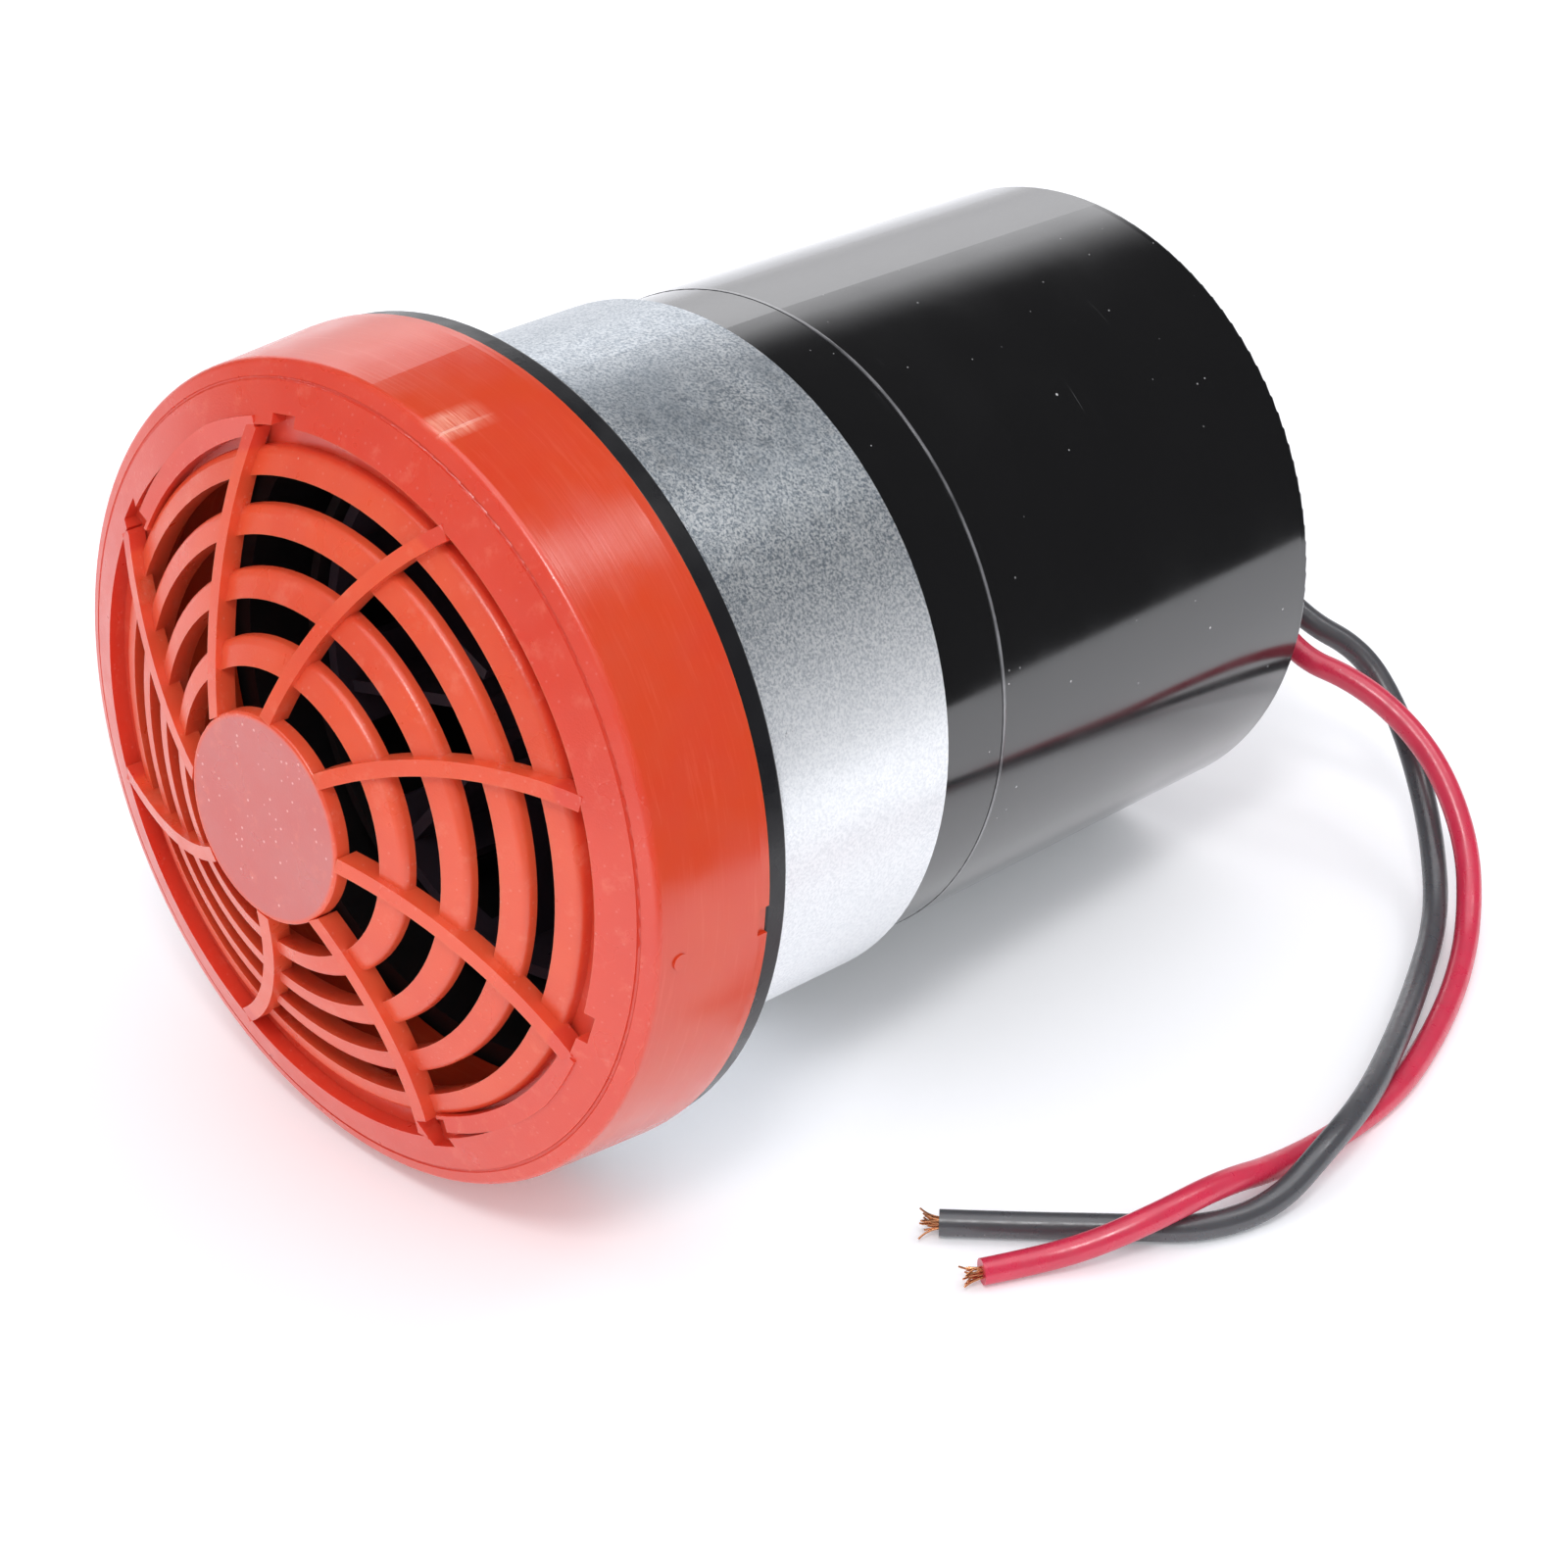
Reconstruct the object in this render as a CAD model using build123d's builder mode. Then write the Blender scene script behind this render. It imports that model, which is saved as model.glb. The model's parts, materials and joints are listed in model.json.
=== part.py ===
"""Motor siren lying on its side: domed grille cap, horn housing, motor cover and two leads.

Places along the siren are stations: distances behind the outer edge of the front rim, along the
siren's own axis, which slopes down to the rear because the cap is wider than the motor cover.
"""

import os
from math import atan2, cos, degrees, pi, radians, sin, tan

from build123d import *

os.makedirs("parts", exist_ok=True)

# ---------------------------------------------------------------- driving dimensions, mm
EDGE_ROUND = 0.4  # rounding of the two edges that the siren lies on
EMBED = 0.8  # how far the shapes of one moulding run into each other

# grille cap
RIM_RADIUS = 40.0
RIM_INNER_RADIUS = 34.4
RIM_INNER_STATION = -2.35
RIM_TUBE_RADIUS = 36.0  # outside of the short tube behind the rim's inner edge
RIM_TUBE_FRONT = 1.4
RIM_TUBE_REAR = 12.6
RIM_PLATE = 2.4
RIM_ROUND = 0.8
GROOVE_RADIUS = 38.3
GROOVE_SIZE = 0.22
REST_LAND = 1.0  # cylindrical strip beside each edge that the siren lies on
CAP_REAR = 12.8
CAP_REAR_RADIUS = 40.7
CAP_WALL = 2.0
DISC_RADIUS = 10.2
DISC_STATION = -11.35
DISC_THICKNESS = 1.6
DISC_ROUND = 0.3
RING_INNER_RADII = (13.9, 19.55, 24.9, 29.85)
RING_WIDTH = 2.4
RING_DEPTH = 1.3
RING_OUTER_ROUND = 1.0
RING_INNER_ROUND = 0.3
CONE_SLOPE = 0.41  # station gained per millimetre of radius on the rings' front faces
CONE_START = -9.4  # station of the innermost ring's inner edge
RIB_COUNT = 8
RIB_WIDTH = 1.5
RIB_DEPTH = 2.2
RIB_CROWN = 0.1  # how far the ribs bulge in front of a straight cone
RIB_SWEEP = ((DISC_RADIUS, 0.0), (20.0, -9.5), (RIM_INNER_RADIUS, -22.5))  # radius, degrees
SLOT_FLOOR = -0.6  # station of the floor that closes the outermost slot
SLOT_FLOOR_THICKNESS = 1.5
NOTCH_SIZE = 3.2
NOTCH_CENTRE = 33.95  # radius at the middle of each notch
NOTCH_DEPTH = 2.9  # radial size
NOTCH_ANGLES = (-15.0, -64.0)
SYMMETRY_ANGLE = 45.0  # the infill plates mirror about this direction
BOSS_CIRCLE = 37.1
BOSS_ANGLES = (130.0, 310.0)
BOSS_RADIUS = 2.3
LATCH_WIDTH = 2.8
LATCH_LENGTH = 1.2
LATCH_DEPTH = 0.4
GATE_STATION = 2.6
GATE_HEIGHT = -0.7
GATE_RADIUS = 0.8
GATE_PROUD = 0.3

# fasteners
SCREW_RADIUS = 1.25
SCREW_CLEARANCE = 1.45
CAP_SCREW_FRONT = 6.5
HEAD_HEIGHT = 1.7
HEAD_RADIUS = 1.9
HEAD_ROUND = 0.5
RECESS_LENGTH = 2.8
RECESS_WIDTH = 0.5
RECESS_DEPTH = 0.8

# seal and horn housing
SEAL_REAR = 15.3
SEAL_RADIUS = 40.4
SEAL_INNER_RADIUS = 36.1
SEAL_ROUND = 0.35
FLANGE_RADIUS = 39.5
FLANGE_THICKNESS = 0.9
FLANGE_BEND = 0.5
HORN_EDGE_ROUND = 0.3
HORN_RADIUS = 34.65
HORN_WALL = 1.2
HORN_REAR = 42.1

# duct liner, stator and rotor
LINER_FRONT = 13.2
LINER_REAR = 36.2
LINER_LIP_RADIUS = 35.7
LINER_WALL = 1.1
STATOR_RADIUS = 28.6
STATOR_WALL = 1.0
STATOR_FRONT = 17.5
PORT_COUNT = 10
PORT_FRONT = 21.0
PORT_REAR = 33.5
PORT_WIDTH = 8.0
PORT_CUT = 8.0  # radial size of the cutters
ROTOR_RADIUS = 27.0
ROTOR_WALL = 1.2
ROTOR_DISC = 1.5
ROTOR_FRONT = 18.5
ROTOR_REAR = 37.0
HUB_FRONT = 26.0
HUB_RADIUS = 5.5
VANE_FRONT = 20.0
VANE_THICKNESS = 1.2
WASHER_RADIUS = 3.5
WASHER_THICKNESS = 0.5
NUT_ACROSS_FLATS = 5.5
NUT_THICKNESS = 2.4
SHAFT_RADIUS = 1.6
SHAFT_FRONT = 21.0
SHAFT_REAR = 87.0
SHAFT_CHAMFER = 0.3
RUNNING_GAP = 0.05

# motor
PLATE_FRONT = 39.4
PLATE_REAR = 41.0
PLATE_SCREW_CIRCLE = 31.0
PLATE_SCREW_ANGLES = (45, 135, 225, 315)
PLATE_SCREW_TIP = 47.5
MOTOR_SCREW_CIRCLE = 12.0
MOTOR_SCREW_ANGLES = (90, 270)
MOTOR_SCREW_TIP = 43.5
MOTOR_BOSS_FRONT = 38.6
MOTOR_BOSS_RADIUS = 6.4
MOTOR_BOSS_GAP = 0.2
CAN_RADIUS = 17.9
CAN_WALL = 1.0
CAN_REAR = 81.0
BUSH_RADIUS = 4.0
BELL_REAR = 85.0
BELL_WALL = 2.0
BELL_SPIGOT = 2.5
BELL_HUB = 2.6
BELL_HUB_RADIUS = 6.0
MAGNET_FRONT = 46.0
MAGNET_REAR = 70.0
MAGNET_INNER_RADIUS = 13.2
MAGNET_HALF_ANGLE = 68
POLE_COUNT = 5
CORE_FRONT = 47.0
CORE_REAR = 69.0
CORE_RADIUS = 12.6
POCKET_OUTER = 11.2
POCKET_INNER = 4.5
TOOTH_WIDTH = 3.0
SLOT_WIDTH = 1.4
COIL_INNER = 5.6
COIL_OUTER = 10.4
COIL_THICKNESS = 1.4
COMMUTATOR_FRONT = 72.5
COMMUTATOR_REAR = 79.5
COMMUTATOR_RADIUS = 4.6
COMMUTATOR_SLOT = (1.4, 0.4)
BRUSH_FRONT = 74.0
BRUSH_REAR = 78.0
BRUSH_INNER = 4.9
BRUSH_WIDTH = 3.0
TERMINAL_INNER = 10.0
TERMINAL_THICKNESS = 0.5
TERMINAL_RADIUS = TERMINAL_INNER + TERMINAL_THICKNESS / 2
TERMINAL_WIDTH = 3.0
TERMINAL_REAR = 94.2

# collar and motor cover
COLLAR_RADIUS = 33.35
COLLAR_WALL = 2.0
SEAM = 0.1
SPIGOT_RADIUS = 31.2
SPIGOT_LENGTH = 4.0
POST_RADIUS = 2.1
COVER_FRONT = 51.0
COVER_FRONT_RADIUS = 33.4
COVER_REAR = 97.0
COVER_REAR_RADIUS = 32.7
COVER_WALL = 2.0
INSERT_FRONT = 90.0
INSERT_RADIUS = 4.0
INSERT_FLOOR = 1.0
INSERT_BOSS_RADIUS = 5.5
THREAD_RADIUS = 2.5  # tapping size of M6

# suppressor board
BOARD_FRONT = 91.6
BOARD_REAR = 93.2
BOARD_RADIUS = 24.0
BOARD_HOLE = 6.4
BOARD_POST_RADIUS = 2.6
BOARD_SCREW_CIRCLE = 20.0
BOARD_SCREW_ANGLES = (60, 180, 300)
BOARD_SCREW_TIP = 96.0
CAPACITOR_PLACE = (-13.0, 0.0)
CAPACITOR_SIZE = (4.0, 10.0)
CAPACITOR_HEIGHT = 5.0
CAPACITOR_ROUND = 0.5

# leads: places right of the siren's axis and above it, routes in the row frame
LEAD_RADIUS = 1.3
RUN_SHARE = 0.45  # share of the shorter run that each arc takes up
GROMMET_INNER = 3.3
GROMMET_WAIST = 2.6
GROMMET_OUTER = 3.8
GROMMET_FLANGE = 0.8
STRAND_LENGTH = 1.5
STRAND_BUNDLE_RADIUS = 0.8
BLACK_EXIT = (9.0, -2.0)
RED_EXIT = (11.5, -4.5)
BLACK_FIRST_CORNER = 102.2
RED_FIRST_CORNER = 101.7
BLACK_ROUTE = (
    (14.5, 64.5, 27), (23, 65, 21.5), (28.5, 68.5, 18.5), (34, 68, 14), (39.5, 65.5, 9.5),
    (45.5, 61, 5.5), (51.5, 54.5, 2.5), (57, 44.5, 2), (62.5, 34, 3.5), (67, 24, 4.5),
    (69, 15.5, 4.5), (69, 8.5, 1.5), (66.5, 1, 1.4), (60.5, -4.5, 1.4), (54.3, -10.5, 1.4),
    (48.3, -16, 1.4),
)
RED_ROUTE = (
    (17.5, 62.5, 25), (25, 61.5, 19.5), (32, 63.5, 18.5), (38.5, 64.5, 15.5), (44.5, 63.5, 12),
    (50, 61, 7), (54.5, 56, 2.5), (59, 48.5, 1.5), (63, 39.5, 1.4), (66, 30, 1.4),
    (66.3, 21, 1.4), (65.7, 12.3, 2), (65.5, 4.5, 4.5), (64.5, -3.5, 4.5), (61.5, -9, 2.5),
    (58.5, -13.5, 1.4), (56, -18.3, 1.4),
)

# ---------------------------------------------------------------- the siren's own axis
TILT = atan2(CAP_REAR_RADIUS - COVER_REAR_RADIUS, COVER_REAR - CAP_REAR)
REARWARD = Vector(0, cos(TILT), -sin(TILT))
UPWARD = Vector(0, sin(TILT), cos(TILT))

front_reach = DISC_STATION * cos(TILT) - DISC_RADIUS * sin(TILT)
rear_reach = COVER_REAR * cos(TILT) + COVER_REAR_RADIUS * sin(TILT)
axis_height = (CAP_REAR - EDGE_ROUND) * sin(TILT) + (CAP_REAR_RADIUS - EDGE_ROUND) * cos(TILT)
RIM_CENTRE = Vector(0, -(front_reach + rear_reach) / 2, axis_height + EDGE_ROUND)

FACE = Plane(origin=RIM_CENTRE, x_dir=(1, 0, 0), z_dir=-REARWARD)
SECTION = Plane(origin=RIM_CENTRE, x_dir=REARWARD, z_dir=(1, 0, 0))
SIREN_AXIS = Axis(RIM_CENTRE, REARWARD)


def at(station):
    """Plane across the siren at a station, seen from the front: x right, y up."""
    return FACE.offset(-station)


def place(station, right, up):
    """Point of the row frame at a station, right of the siren's axis and above it."""
    return RIM_CENTRE + REARWARD * station + Vector(right, 0, 0) + UPWARD * up


def polar(radius, angle):
    """Point of a plane across the siren, from radius and degrees anticlockwise of right."""
    return (radius * cos(radians(angle)), radius * sin(radians(angle)))


def ring_station(radius):
    """Station of the cone that the rings' front faces lie on."""
    return CONE_START + CONE_SLOPE * (radius - RING_INNER_RADII[0])


def save(part, name):
    """Label one finished piece and write it."""
    part.label = name
    export_step(part, f"parts/{name}.step")


# ---------------------------------------------------------------- grille cap
RIM_FACE_WIDTH = RIM_RADIUS - RIM_INNER_RADIUS
RIB_OUTER = RIM_INNER_RADIUS + EMBED
RIB_INNER = DISC_RADIUS - EMBED

with BuildSketch() as one_rib:
    with BuildLine():
        rib_line = ThreePointArc(*[polar(radius, angle) for radius, angle in RIB_SWEEP])
    trace(rib_line, line_width=RIB_WIDTH)

with BuildPart() as ribs:
    with BuildSketch(at(RIM_INNER_STATION + RIB_DEPTH)):
        with PolarLocations(0, RIB_COUNT):
            add(one_rib.sketch)
    extrude(amount=RIM_INNER_STATION + RIB_DEPTH - DISC_STATION)
    with BuildSketch(SECTION):
        with BuildLine():
            crown = ThreePointArc(
                (DISC_STATION, DISC_RADIUS),
                ((DISC_STATION + RIM_INNER_STATION) / 2 - RIB_CROWN, (DISC_RADIUS + RIM_INNER_RADIUS) / 2),
                (RIM_INNER_STATION, RIM_INNER_RADIUS),
            )
            Line(crown @ 1, (RIM_INNER_STATION, RIB_OUTER))
            Line((RIM_INNER_STATION, RIB_OUTER), (RIM_INNER_STATION + RIB_DEPTH, RIB_OUTER))
            Line((RIM_INNER_STATION + RIB_DEPTH, RIB_OUTER), (DISC_STATION + RIB_DEPTH, DISC_RADIUS))
            Line((DISC_STATION + RIB_DEPTH, DISC_RADIUS), (DISC_STATION + RIB_DEPTH, RIB_INNER))
            Line((DISC_STATION + RIB_DEPTH, RIB_INNER), (DISC_STATION, RIB_INNER))
            Line((DISC_STATION, RIB_INNER), crown @ 0)
        make_face()
    revolve(axis=SIREN_AXIS, mode=Mode.INTERSECT)

INFILL_OUTER = (34.0, 3.0)  # radius of the plate's outer edge, and how far its centre is offset
INFILL_INNER = (32.3, 1.9)
INFILL_OFFSET_ANGLE = 30.0
INFILL_SECTOR = (-63.0, -22.0)
GAP_INNER_RADIUS = RING_INNER_RADII[-1] + RING_WIDTH

with BuildSketch() as one_infill:
    with Locations(polar(INFILL_OUTER[1], INFILL_OFFSET_ANGLE)):
        Circle(INFILL_OUTER[0])
    with Locations(polar(INFILL_INNER[1], INFILL_OFFSET_ANGLE)):
        Circle(INFILL_INNER[0], mode=Mode.SUBTRACT)
    Circle(RIM_INNER_RADIUS + EMBED, mode=Mode.INTERSECT)
    Circle(GAP_INNER_RADIUS - EMBED, mode=Mode.SUBTRACT)
    with BuildLine():
        sector_ends = [polar(2 * RIM_RADIUS, angle) for angle in INFILL_SECTOR]
        Polyline((0, 0), *sector_ends, close=True)
    make_face(mode=Mode.INTERSECT)

with BuildPart() as cap:
    # skirt, rim and the short tube behind the rim's inner edge
    with BuildSketch(SECTION):
        with BuildLine():
            Polyline(
                (RIM_INNER_STATION, RIM_INNER_RADIUS),
                (0, RIM_RADIUS),
                (CAP_REAR - REST_LAND, CAP_REAR_RADIUS),
                (CAP_REAR, CAP_REAR_RADIUS),
                (CAP_REAR, CAP_REAR_RADIUS - CAP_WALL),
                (RIM_PLATE, RIM_RADIUS - CAP_WALL),
                (RIM_TUBE_FRONT, RIM_TUBE_RADIUS),
                (RIM_TUBE_REAR, RIM_TUBE_RADIUS),
                (RIM_TUBE_REAR, RIM_INNER_RADIUS),
                close=True,
            )
        skirt = make_face()
        rim_edge = skirt.vertices().sort_by_distance((0, RIM_RADIUS))[0]
        rest_edge = skirt.vertices().sort_by_distance((CAP_REAR, CAP_REAR_RADIUS))[0]
        fillet(rim_edge, radius=RIM_ROUND)
        fillet(rest_edge, radius=EDGE_ROUND)
    revolve(axis=SIREN_AXIS)
    # fine groove round the rim's front face
    with BuildSketch(SECTION):
        with Locations((RIM_INNER_STATION * (RIM_RADIUS - GROOVE_RADIUS) / RIM_FACE_WIDTH, GROOVE_RADIUS)):
            Circle(GROOVE_SIZE)
    revolve(axis=SIREN_AXIS, mode=Mode.SUBTRACT)
    # centre disc
    with BuildSketch(SECTION):
        with Locations((DISC_STATION, 0)):
            disc_section = Rectangle(DISC_THICKNESS, DISC_RADIUS, align=(Align.MIN, Align.MIN))
        fillet(disc_section.vertices().sort_by_distance((DISC_STATION, DISC_RADIUS))[0], radius=DISC_ROUND)
    revolve(axis=SIREN_AXIS)
    # concentric rings on the cone
    with BuildSketch(SECTION):
        for radius in RING_INNER_RADII:
            outer = radius + RING_WIDTH
            inner_edge = (ring_station(radius), radius)
            outer_edge = (ring_station(outer), outer)
            ring_rear = ring_station(outer) + RING_DEPTH
            with BuildLine():
                Polyline(inner_edge, outer_edge, (ring_rear, outer), (ring_rear, radius), close=True)
            ring = make_face()
            fillet(ring.vertices().sort_by_distance(outer_edge)[0], radius=RING_OUTER_ROUND)
            fillet(ring.vertices().sort_by_distance(inner_edge)[0], radius=RING_INNER_ROUND)
    revolve(axis=SIREN_AXIS)
    add(ribs.part)
    # the two mirrored plates that close part of the outermost slot
    with BuildSketch(at(RIM_INNER_STATION)):
        add(one_infill.sketch)
        add(one_infill.sketch.mirror(Plane.XZ).rotate(Axis.Z, 2 * SYMMETRY_ANGLE))
    extrude(amount=RIM_INNER_STATION - SLOT_FLOOR)
    # floor that closes the outermost slot, behind the last ring
    with BuildSketch(at(SLOT_FLOOR)):
        Circle(RIM_INNER_RADIUS + EMBED)
        Circle(RING_INNER_RADII[-1] + EMBED, mode=Mode.SUBTRACT)
    extrude(amount=-SLOT_FLOOR_THICKNESS)
    # square notches beside four of the ribs, down to that floor
    with BuildSketch(at(RIM_INNER_STATION - 1)):
        for angle in NOTCH_ANGLES + tuple(2 * SYMMETRY_ANGLE - angle for angle in NOTCH_ANGLES):
            with Locations(Location((*polar(NOTCH_CENTRE, angle), 0), angle)):
                Rectangle(NOTCH_DEPTH, NOTCH_SIZE)
    extrude(amount=RIM_INNER_STATION - 1 - SLOT_FLOOR, mode=Mode.SUBTRACT)
    # screw bosses, tied to the skirt
    with BuildSketch(at(CAP_REAR)):
        with Locations(*[polar(BOSS_CIRCLE, angle) for angle in BOSS_ANGLES]):
            Circle(BOSS_RADIUS)
    extrude(amount=CAP_REAR - RIM_PLATE + EMBED)
    with BuildSketch(at(CAP_REAR)):
        with Locations(*[polar(BOSS_CIRCLE, angle) for angle in BOSS_ANGLES]):
            Circle(SCREW_RADIUS)
    extrude(amount=CAP_REAR - CAP_SCREW_FRONT, mode=Mode.SUBTRACT)
    # shallow latch recess in the skirt's rear edge, on each side
    for side in (-1, 1):
        with BuildSketch(Plane(origin=place(CAP_REAR - LATCH_LENGTH / 2, side * CAP_REAR_RADIUS, 0),
                               x_dir=REARWARD, z_dir=(side, 0, 0))):
            Rectangle(LATCH_LENGTH, LATCH_WIDTH)
        extrude(amount=LATCH_DEPTH, both=True, mode=Mode.SUBTRACT)
    # moulding gate mark on the skirt
    with BuildSketch(Plane(origin=place(GATE_STATION, RIM_RADIUS - CAP_WALL / 2, GATE_HEIGHT),
                           x_dir=REARWARD, z_dir=(1, 0, 0))):
        Circle(GATE_RADIUS)
    extrude(amount=CAP_WALL / 2 + GATE_PROUD)
save(cap.part, "grille_cap")


# ---------------------------------------------------------------- shared shapes
def turned(*outline):
    """Solid of revolution about the siren's axis, from (station, radius) corners."""
    with BuildPart() as body:
        with BuildSketch(SECTION):
            with BuildLine():
                Polyline(*outline, close=True)
            make_face()
        revolve(axis=SIREN_AXIS)
    return body.part


def screws(places, seat, tip, rearward=True):
    """Identical pan-head screws: heads on the station seat, shanks running to the station tip."""
    outward = 1 if rearward else -1
    with BuildPart() as group:
        with BuildSketch(at(seat)):
            with Locations(*places):
                Circle(HEAD_RADIUS)
        extrude(amount=outward * HEAD_HEIGHT)
        fillet(group.edges().group_by(SIREN_AXIS)[0 if rearward else -1], radius=HEAD_ROUND)
        with BuildSketch(at(seat - outward * HEAD_HEIGHT)):
            with Locations(*places):
                Rectangle(RECESS_LENGTH, RECESS_WIDTH)
                Rectangle(RECESS_WIDTH, RECESS_LENGTH)
        extrude(amount=-outward * RECESS_DEPTH, mode=Mode.SUBTRACT)
        with BuildSketch(at(seat)):
            with Locations(*places):
                Circle(SCREW_RADIUS)
        extrude(amount=seat - tip)
    return group.part


# ---------------------------------------------------------------- seal and horn housing
boss_places = [polar(BOSS_CIRCLE, angle) for angle in BOSS_ANGLES]
HORN_INNER_RADIUS = HORN_RADIUS - HORN_WALL

with BuildPart() as seal:
    with BuildSketch(SECTION):
        with Locations((CAP_REAR, SEAL_INNER_RADIUS)):
            strip = Rectangle(SEAL_REAR - CAP_REAR, SEAL_RADIUS - SEAL_INNER_RADIUS,
                              align=(Align.MIN, Align.MIN))
        fillet(strip.vertices().group_by(Axis.Y)[-1], radius=SEAL_ROUND)
    revolve(axis=SIREN_AXIS)
    with BuildSketch(at(CAP_REAR)):
        with Locations(*boss_places):
            Circle(SCREW_CLEARANCE)
    extrude(amount=CAP_REAR - SEAL_REAR, mode=Mode.SUBTRACT)
save(seal.part, "seal_ring")

with BuildPart() as horn:
    with BuildSketch(SECTION):
        with BuildLine():
            Polyline(
                (SEAL_REAR, HORN_INNER_RADIUS),
                (SEAL_REAR, FLANGE_RADIUS),
                (SEAL_REAR + FLANGE_THICKNESS, FLANGE_RADIUS),
                (SEAL_REAR + FLANGE_THICKNESS, HORN_RADIUS),
                (HORN_REAR, HORN_RADIUS),
                (HORN_REAR, HORN_INNER_RADIUS),
                close=True,
            )
        wall = make_face()
        corner = (SEAL_REAR + FLANGE_THICKNESS, HORN_RADIUS)
        fillet(wall.vertices().sort_by_distance(corner)[0], radius=FLANGE_BEND)
        fillet(wall.vertices().group_by(Axis.Y)[-1], radius=HORN_EDGE_ROUND)
        fillet(wall.vertices().group_by(Axis.X)[-1].sort_by(Axis.Y)[-1], radius=HORN_EDGE_ROUND)
    revolve(axis=SIREN_AXIS)
    with BuildSketch(at(SEAL_REAR)):
        with Locations(*boss_places):
            Circle(SCREW_CLEARANCE)
    extrude(amount=-FLANGE_THICKNESS, mode=Mode.SUBTRACT)
save(horn.part, "horn_housing")

save(screws(boss_places, SEAL_REAR + FLANGE_THICKNESS, CAP_SCREW_FRONT, rearward=False), "cap_screws")

# ---------------------------------------------------------------- duct liner and stator
save(turned(
    (LINER_FRONT, HORN_INNER_RADIUS - LINER_WALL),
    (LINER_FRONT, LINER_LIP_RADIUS),
    (SEAL_REAR, LINER_LIP_RADIUS),
    (SEAL_REAR, HORN_INNER_RADIUS),
    (LINER_REAR, HORN_INNER_RADIUS),
    (LINER_REAR, HORN_INNER_RADIUS - LINER_WALL),
), "duct_liner")

plate_screw_places = [polar(PLATE_SCREW_CIRCLE, angle) for angle in PLATE_SCREW_ANGLES]
STATOR_INNER_RADIUS = STATOR_RADIUS - STATOR_WALL
STATOR_REAR = PLATE_FRONT


def ports(radius):
    """Cutters for the windows round a drum, each a box across the drum's wall."""
    with BuildPart() as cutter:
        with BuildSketch(at(PORT_FRONT)):
            with PolarLocations(radius, PORT_COUNT):
                Rectangle(PORT_CUT, PORT_WIDTH)
        extrude(amount=PORT_FRONT - PORT_REAR)
    return cutter.part


with BuildPart() as stator:
    add(turned(
        (STATOR_FRONT, STATOR_INNER_RADIUS),
        (STATOR_FRONT, STATOR_RADIUS),
        (STATOR_REAR - STATOR_WALL, STATOR_RADIUS),
        (STATOR_REAR - STATOR_WALL, HORN_INNER_RADIUS),
        (STATOR_REAR, HORN_INNER_RADIUS),
        (STATOR_REAR, STATOR_INNER_RADIUS),
    ))
    add(ports(STATOR_RADIUS - STATOR_WALL / 2), mode=Mode.SUBTRACT)
    with BuildSketch(at(STATOR_REAR)):
        with Locations(*plate_screw_places):
            Circle(SCREW_CLEARANCE)
    extrude(amount=STATOR_WALL, mode=Mode.SUBTRACT)
save(stator.part, "stator_drum")

# ---------------------------------------------------------------- rotor and what fixes it
with BuildPart() as rotor:
    # hub, back disc and drum wall
    add(turned(
        (HUB_FRONT, SHAFT_RADIUS),
        (HUB_FRONT, HUB_RADIUS),
        (ROTOR_REAR - ROTOR_DISC, HUB_RADIUS + 1),
        (ROTOR_REAR - ROTOR_DISC, ROTOR_RADIUS - ROTOR_WALL),
        (ROTOR_FRONT, ROTOR_RADIUS - ROTOR_WALL),
        (ROTOR_FRONT, ROTOR_RADIUS),
        (ROTOR_REAR, ROTOR_RADIUS),
        (ROTOR_REAR, SHAFT_RADIUS),
    ))
    add(ports(ROTOR_RADIUS - ROTOR_WALL / 2), mode=Mode.SUBTRACT)
    # radial vanes, one on the bar between each pair of windows
    with BuildSketch(at(ROTOR_REAR - ROTOR_DISC)):
        with PolarLocations((HUB_RADIUS + ROTOR_RADIUS) / 2, PORT_COUNT, start_angle=180 / PORT_COUNT):
            Rectangle(ROTOR_RADIUS - ROTOR_WALL - HUB_RADIUS + 1, VANE_THICKNESS)
    extrude(amount=ROTOR_REAR - ROTOR_DISC - VANE_FRONT)
save(rotor.part, "rotor")

with BuildPart() as washer:
    with BuildSketch(at(HUB_FRONT)):
        Circle(WASHER_RADIUS)
        Circle(SHAFT_RADIUS + RUNNING_GAP, mode=Mode.SUBTRACT)
    extrude(amount=WASHER_THICKNESS)
save(washer.part, "rotor_washer")

with BuildPart() as nut:
    with BuildSketch(at(HUB_FRONT - WASHER_THICKNESS)):
        RegularPolygon(NUT_ACROSS_FLATS / 2, 6, major_radius=False)
        Circle(SHAFT_RADIUS, mode=Mode.SUBTRACT)
    extrude(amount=NUT_THICKNESS)
save(nut.part, "rotor_nut")

with BuildPart() as shaft:
    with BuildSketch(at(SHAFT_REAR)):
        Circle(SHAFT_RADIUS)
    extrude(amount=SHAFT_REAR - SHAFT_FRONT)
    chamfer(shaft.edges().filter_by(GeomType.CIRCLE), SHAFT_CHAMFER)
save(shaft.part, "shaft")

# ---------------------------------------------------------------- motor plate and its screws
motor_screw_places = [polar(MOTOR_SCREW_CIRCLE, angle) for angle in MOTOR_SCREW_ANGLES]

with BuildPart() as plate:
    with BuildSketch(at(PLATE_REAR)):
        Circle(HORN_INNER_RADIUS)
        Circle(MOTOR_BOSS_RADIUS + MOTOR_BOSS_GAP, mode=Mode.SUBTRACT)
        with Locations(*plate_screw_places, *motor_screw_places):
            Circle(SCREW_CLEARANCE, mode=Mode.SUBTRACT)
    extrude(amount=PLATE_REAR - PLATE_FRONT)
save(plate.part, "motor_plate")

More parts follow.
